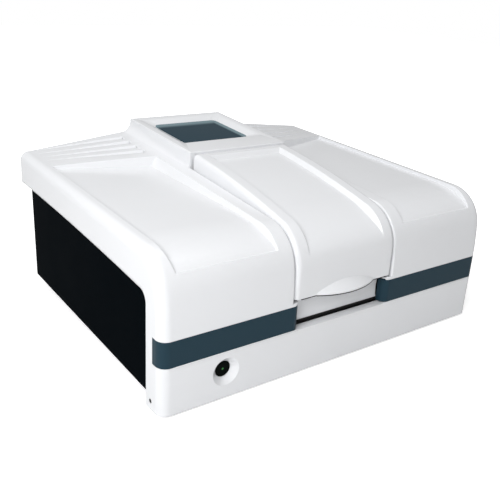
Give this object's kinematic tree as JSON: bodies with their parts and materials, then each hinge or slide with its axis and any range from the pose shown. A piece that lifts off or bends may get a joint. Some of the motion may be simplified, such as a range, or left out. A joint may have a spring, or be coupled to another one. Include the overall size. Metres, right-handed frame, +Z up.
{
  "type": "uv-vis spectrophotometer",
  "caption": "Bench uv-vis spectrophotometer: wide white casing with dished wings, raised tower, hinged sample compartment lid, slate front bands and a round power button.",
  "frame": {"origin": "on the desk, under the middle of the whole instrument", "axes": "+X to the instrument's right as its user faces it, +Y towards its back, +Z up; the front faces -Y"},
  "size_m": [0.7, 0.6004, 0.3174],
  "materials": {
    "casing_white": "smooth glossy moulding",
    "slate": "smooth glossy",
    "recess_grey": "fine satin",
    "button_black": "smooth glossy",
    "signal_green": "clear tinted lens",
    "panel_black": "dark powder coat",
    "inner_black": "matt",
    "seal_rubber": "closed foam",
    "foot_rubber": "moulded",
    "steel": "brushed",
    "zinc_sheet": "zinc plated",
    "cast_alloy": "as cast, machined on top",
    "black_alloy": "black anodised",
    "quartz": "polished",
    "mirror_coat": "front coated",
    "ceramic": "unglazed",
    "motor_grey": "satin paint",
    "board_green": "solder resist"
  },
  "bodies": {
    "body": {"top_cover": "casing_white", "band_left": "slate", "band_right": "slate", "front_plate": "recess_grey", "tower_window": "slate", "lid_seal": "seal_rubber", "hinge_brackets": "steel", "hinge_pins": "steel", "sample_compartment": "inner_black", "beam_windows": "quartz", "window_rings": "black_alloy", "holder_base": "black_alloy", "holder_screws": "steel", "sample_holder": "black_alloy", "reference_holder": "black_alloy", "power_switch": "inner_black", "base_pan": "zinc_sheet", "bezel_screws": "steel", "side_panel_left": "panel_black", "side_panel_right": "panel_black", "rear_panel": "panel_black", "rubber_feet": "foot_rubber", "cover_posts": "steel", "optical_bench": "cast_alloy", "bench_mounts": "foot_rubber", "fan_frame": "inner_black", "fan_guard": "steel", "mains_inlet": "inner_black", "data_port": "steel", "monochromator_housing": "black_alloy", "monochromator_cover": "black_alloy", "slit_plates": "steel", "mirror_posts": "black_alloy", "beam_mirrors": "mirror_coat", "collimating_mirrors": "mirror_coat", "grating_motor": "motor_grey", "filter_motor": "motor_grey", "chopper_motor": "motor_grey", "lamp_housing": "zinc_sheet", "lamp_cover": "zinc_sheet", "lamp_bases": "ceramic", "deuterium_lamp": "quartz", "tungsten_lamp": "quartz", "source_motor": "motor_grey", "detector_housing": "black_alloy", "detector_tubes": "motor_grey", "main_board": "board_green", "power_supply": "zinc_sheet"},
    "lid": {"lid_shell": "casing_white", "lid_liner": "inner_black", "hinge_arms": "steel"},
    "button": {"power_button": "button_black", "power_indicator": "signal_green"},
    "fuse": {"fuse_drawer": "inner_black"},
    "fan": {"fan_rotor": "inner_black"},
    "chopper": {"chopper_wheel": "black_alloy"},
    "filters": {"filter_wheel": "black_alloy"},
    "turret": {"grating_turret": "black_alloy", "grating": "mirror_coat"},
    "source": {"source_mirror": "mirror_coat"}
  },
  "joints": [
    {"name": "lid_hinge", "type": "hinge", "parent": "body", "child": "lid", "pos_m": [0, 0.03625, 0.2905], "axis": [-1, 0, 0], "range_deg": [0, 80]},
    {"name": "button_press", "type": "slide", "parent": "body", "child": "button", "axis": [0, 1, 0], "range_m": [0, 0.0025], "stiffness_N_per_m": 500},
    {"name": "fuse_pull", "type": "slide", "parent": "body", "child": "fuse", "axis": [0, 1, 0], "range_m": [0, 0.016]},
    {"name": "fan_spin", "type": "hinge", "parent": "body", "child": "fan", "pos_m": [-0.25, 0.24225, 0.092], "axis": [0, 1, 0], "continuous": true},
    {"name": "chopper_spin", "type": "hinge", "parent": "body", "child": "chopper", "pos_m": [-0.113, -0.11875, 0.113], "axis": [1, 0, 0], "continuous": true},
    {"name": "filter_turn", "type": "hinge", "parent": "body", "child": "filters", "pos_m": [-0.23, 0.08925, 0.093], "axis": [0, 1, 0], "continuous": true},
    {"name": "grating_turn", "type": "hinge", "parent": "body", "child": "turret", "pos_m": [-0.245, -0.06875, 0.072], "axis": [0, 0, 1], "range_deg": [-20, 20]},
    {"name": "source_turn", "type": "hinge", "parent": "body", "child": "source", "pos_m": [-0.26, 0.12425, 0.08], "axis": [0, 0, 1], "range_deg": [-45, 45]}
  ]
}
